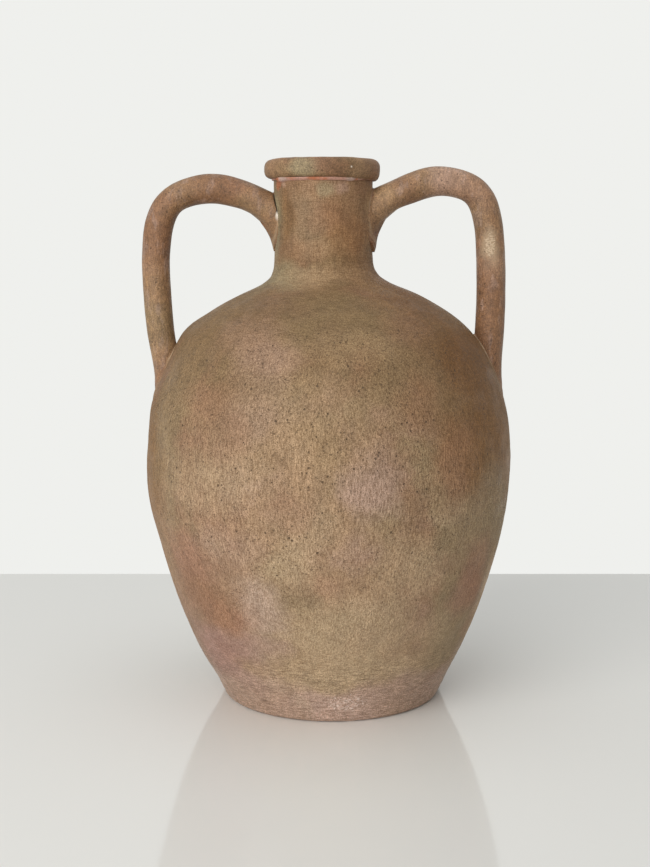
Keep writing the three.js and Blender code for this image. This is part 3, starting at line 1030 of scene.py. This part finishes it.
def handle_clay(paths):
    """The handles: the same paint, rubbed smoother by hands, with a painted highlight on the right one
    and painted shade in the left one's crack.
    """
    g = Graph("handle_clay")
    warped = g.warped(0.02, 0.02)
    colour = g.mix(g.step(g.noise(0.05, 3, 0.6, 21), 0.42, 0.62), TAN, RED_BROWN)
    colour = g.mix(g.step(g.noise(0.035, 4, 0.6, 22), 0.55, 0.75, 0, 0.6), colour, PINK)
    colour = g.mix(g.step(g.noise(0.04, 4, 0.6, 23), 0.55, 0.75, 0, 0.6), colour, OLIVE)
    for side, share, reach, strength, paint in HANDLE_PATCHES:
        path = paths[side]
        x, z = path[round(share * (len(path) - 1)), :2]
        colour = dabbed(g, colour, (x, 0, z), [reach * MM] * 3, strength, paint, warped)
    colour = g.mix(1, colour, HANDLE_TINT, "MULTIPLY")
    mottle = g.noise(0.007, 5, 0.7, 24)
    smear = g.noise(0.006, 3, 0.6, 30, g.scaled((1, 1, 0.35)))
    colour = g.mix(g.step(smear, 0.52, 0.68, 0, 0.25), colour, PALE_PINK)
    streak = g.noise(0.0011, 3, 0.7, 29, g.scaled((1, 1, 0.25)))
    grain = g.noise(0.0009, 1, 0.8, 25)
    colour = g.shade(
        colour,
        g.step(mottle, 0.25, 0.75, 0.74, 1.22),
        g.step(streak, 0.3, 0.7, 0.78, 1.20),
        g.step(grain, 0.3, 0.7, 0.74, 1.24),
    )
    speck, dent = g.pits(0.0032, 0.08, 0.22, g.step(g.noise(0.02, 2, 0.5, 27), 0.4, 0.6), 28)
    colour = g.mix(g.times(speck, 0.7), colour, PIT)
    # Painted highlight on the front of the right handle: a cream dab and bright glints.
    path = paths["right"]
    x, z, _, width = path[round(0.515 * (len(path) - 1))]
    glare_place = (x - MM, -width, z)
    colour = dabbed(g, colour, glare_place, (0.008, 0.008, 0.016), 0.6, CREAM, warped)
    colour = painted_glints(g, colour, glare_place, (0.010, 0.010, 0.018), 0.0010, 0.46, PAINTED_GLARE)
    # Painted shade: the crack at the left handle's neck joint painted near black.
    cracked = g.add("Attribute", output="Fac", attribute_name="cracked")
    colour = g.mix(g.step(cracked, 0.1, 0.3), colour, CRACK_SHADE)
    relief = g.summed((grain, 0.6), (mottle, 0.8), (streak, 0.5), (dent, -0.5))
    rough = g.step(g.noise(0.02, 3, 0.6, 26), 0.35, 0.65, 0.56, 0.42)
    return g.finish(colour, rough, relief, 0.0007)


def rim_clay():
    """The rim: paint rubbed through to the clay, and grey-green in places."""
    g = Graph("rim_clay")
    warped = g.warped(0.012, 0.01)
    colour = g.mix(g.step(g.noise(0.03, 3, 0.6, 31), 0.42, 0.62), TAN, RED_BROWN)
    colour = g.mix(g.step(g.noise(0.018, 4, 0.6, 32), 0.5, 0.7, 0, 0.5), colour, OLIVE)
    radius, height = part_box("rim_ring")[1].y, (RIM_BASE + RIM_TOP) / 2
    for degrees, reach, strength, paint in RIM_PATCHES:
        place = on_circle(degrees, radius, height)
        colour = dabbed(g, colour, place, [reach * MM] * 3, strength, paint, warped)
    mottle = g.noise(0.005, 5, 0.7, 34)
    grain = g.noise(0.0010, 1, 0.8, 35)
    colour = g.shade(
        colour,
        g.step(mottle, 0.25, 0.75, 0.80, 1.24),
        g.step(grain, 0.3, 0.7, 0.70, 1.30),
    )
    speck, dent = g.pits(0.0030, 0.08, 0.22, g.step(g.noise(0.02, 2, 0.5, 37), 0.4, 0.6), 38)
    colour = g.mix(g.times(speck, 0.7), colour, PIT)
    colour = g.mix(1, colour, RIM_TINT, "MULTIPLY")
    colour = dabbed(g, colour, on_circle(28, radius, height), [0.8 * MM] * 3, 1, CHALK_AND_HIGHLIGHT, g.place)
    relief = g.summed((grain, 0.7), (mottle, 0.9), (dent, -0.5))
    return g.finish(colour, 0.6, relief, 0.0007, gloss=0.3)


def slip_clay(end):
    """Slip smoothed round the joints at one end of the handles, with pale lines where it was wiped,
    partly painted highlight at the shoulder; at the neck, a painted highlight and painted shade in a
    crack.
    """
    g = Graph("slip_at_the_" + end)
    across = g.add("Attribute", output="Fac", attribute_name="across")
    cracked = g.add("Attribute", output="Fac", attribute_name="cracked")
    colour = g.mix(g.step(g.noise(0.02, 3, 0.6, 41), 0.42, 0.62), TAN, RED_BROWN)
    colour = g.mix(g.step(g.noise(0.012, 4, 0.6, 42), 0.55, 0.7, 0, 0.25), colour, CREAM)
    mottle = g.noise(0.005, 5, 0.7, 44)
    grain = g.noise(0.0009, 1, 0.8, 45)
    colour = g.mix(1, colour, SLIP_TINT, "MULTIPLY")
    colour = g.shade(
        colour,
        g.step(mottle, 0.25, 0.75, 0.8, 1.2),
        g.step(grain, 0.3, 0.7, 0.68, 1.28),
    )
    line = g.times(g.step(across, 0.62, 0.72), g.step(across, 0.90, 0.80))
    line = g.times(line, g.step(g.noise(0.016, 3, 0.6, 46), 0.30, 0.44))
    if end == "shoulder":
        second = g.times(g.step(across, 0.28, 0.36), g.step(across, 0.52, 0.44))
        second = g.times(second, g.step(g.noise(0.012, 3, 0.6, 47), 0.42, 0.52))
        height = g.add("SeparateXYZ", {0: g.place}, output=2)
        both = g.maths("MAXIMUM", line, second)
        # Pale lines along the seams: partly paler slip, partly a painted highlight on the ridge.
        colour = g.mix(g.times(both, g.step(height, 0.238, 0.252, 0.15, 0.95)), colour, PALE_LINE_AND_HIGHLIGHT)
    else:
        colour = g.mix(g.times(line, 0.35), colour, CREAM)
        # Painted highlight: a near-white spot on the slip at the left neck joint.
        colour = dabbed(g, colour, *SLIP_HIGHLIGHT_SPOT, 1, CHALK_AND_HIGHLIGHT, g.place)
    # Painted shade in the crack at the left neck joint.
    colour = g.mix(g.step(cracked, 0.2, 0.5), colour, CRACK_SHADE)
    relief = g.summed((grain, 0.6), (mottle, 0.9))
    return g.finish(colour, 0.6, relief, 0.0007)


def bare_clay():
    """Unpainted orange-red clay with pale smears."""
    g = Graph("bare_clay")
    warped = g.warped(0.004, 0.002)
    colour = g.mix(g.step(g.noise(0.012, 3, 0.6, 51), 0.48, 0.66), BARE_PINK, BARE_RED)
    colour = g.mix(g.step(g.noise(0.008, 4, 0.6, 52), 0.55, 0.7, 0, 0.5), colour, PALE_PINK)
    low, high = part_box("rim_luting_bead")
    for degrees, reach, paint in BEAD_PATCHES:
        place = on_circle(degrees, high.y, (low.z + high.z) / 2)
        colour = dabbed(g, colour, place, [reach * MM] * 3, 1, paint, warped)
    grain = g.noise(0.0014, 2, 0.8, 55)
    colour = g.shade(colour, g.step(grain, 0.3, 0.7, 0.85, 1.15))
    return g.finish(colour, 0.62, g.noise(0.003, 4, 0.6, 56), 0.0006)


# ---- the studio


def table_top():
    """A pale, slightly glossy table that the jar stands on."""
    g = Graph("table")
    g.set(g.shader.inputs["Base Color"], TABLE_COLOUR)
    g.set(g.shader.inputs["Roughness"], 0.08)
    mesh = bpy.data.meshes.new("table")
    corners = [(-1.2, -1.6, 0), (1.2, -1.6, 0), (1.2, TABLE_BACK, 0), (-1.2, TABLE_BACK, 0)]
    mesh.from_pydata(corners, [], [(0, 1, 2, 3)])
    mesh.materials.append(g.material)
    table = bpy.data.objects.new("table", mesh)
    bpy.context.scene.collection.objects.link(table)


TABLE_COLOUR = (0.90, 0.90, 0.875)
TABLE_BACK = 0.35
WALL_LIGHT = (0.865, 0.87, 0.845)
AMBIENT = 0.37


def studio_walls():
    """Near-white walls all round, which light the jar more weakly than they look."""
    world = bpy.data.worlds.new("studio")
    world.use_nodes = True
    tree = world.node_tree
    tree.nodes.clear()
    path = tree.nodes.new("ShaderNodeLightPath")
    mix = tree.nodes.new("ShaderNodeMixShader")
    output = tree.nodes.new("ShaderNodeOutputWorld")
    tree.links.new(path.outputs["Is Diffuse Ray"], mix.inputs[0])
    for socket, strength in zip(mix.inputs[1:], (1, AMBIENT)):
        light = tree.nodes.new("ShaderNodeBackground")
        light.inputs[0].default_value = (*WALL_LIGHT, 1)
        light.inputs[1].default_value = strength
        tree.links.new(light.outputs[0], socket)
    tree.links.new(mix.outputs[0], output.inputs[0])
    world.cycles.sampling_method = "NONE"
    bpy.context.scene.world = world


def soft_light(name, place, aim, size, power, colour):
    light = bpy.data.lights.new(name, "AREA")
    light.shape = "RECTANGLE"
    light.size, light.size_y = size
    light.energy = power
    light.color = colour
    lamp = bpy.data.objects.new(name, light)
    lamp.location = place
    lamp.rotation_euler = (Vector(aim) - Vector(place)).to_track_quat("-Z", "Y").to_euler()
    bpy.context.scene.collection.objects.link(lamp)


def camera():
    lens = bpy.data.cameras.new("camera")
    lens.sensor_width = 36
    lens.lens = 58.13
    seen_from = bpy.data.objects.new("camera", lens)
    seen_from.location = (-0.003, -1.005, 0.3315)
    seen_from.rotation_euler = (math.radians(90 - 8.02), 0, 0)
    bpy.context.scene.collection.objects.link(seen_from)
    bpy.context.scene.camera = seen_from


# ---- the jar

PATHS = {side: catmull(handle_path(side), MM) for side in ("left", "right")}
PAINTED = painted_clay()
HANDLE = handle_clay(PATHS)
RIM = rim_clay()
SLIP = {end: slip_clay(end) for end in ("neck", "shoulder")}
BARE = bare_clay()

turned_piece("lower_wall", "lower_body", PAINTED, wall_marks, "painted_clay", inner_marks)
turned_piece("upper_wall", "upper_body", PAINTED, wall_marks, "painted_clay", inner_marks)
turned_piece("neck_wall", "neck", PAINTED, wall_marks, "painted_clay")
turned_piece("rim_roll", "rim_ring", RIM, rim_marks, "rim_clay", sag=rim_sag)
bead_piece("rim_bead", "rim_luting_bead", BARE, bead_marks, "bare_clay", 0.5 * MM)
bead_piece("belly_coil", "belly_seam_coil", BARE, coil_marks, "bare_clay", 2 * MM)
for side, end, along_handle, along_wall, fullness in (
    ("left", "neck", (1, 2.5, 17), (1, 1.5, 12), (0.3, 0.3, 0.25)),
    ("right", "neck", (1, 3, 15), (1, 2, 16), (0.3, 0.3, 0.5)),
    ("left", "shoulder", (5, 3, 2.5), (9, 3, 2.5), (0.9, 0.5, 0.2)),
    ("right", "shoulder", (4, 2, 2.5), (6, 2.5, 2.5), (0.4, 0.4, 0.2)),
):
    lengths = np.array([along_handle, along_wall]) * MM
    luting_piece(side, end, PATHS[side], *lengths, fullness, SLIP[end])
for side, path in PATHS.items():
    handle_piece(side, path, HANDLE)

table_top()
studio_walls()
soft_light("window", (-1.2, -2.09, 1.17), (0, 0, 0.2), (2.2, 1.8), 47, (1, 0.99, 0.97))
soft_light("overhead", (0, -0.2, 2.3), (0, -0.2, 0), (2.0, 2.0), 11, (1, 1, 1))
camera()
bpy.context.scene.view_settings.view_transform = "Standard"
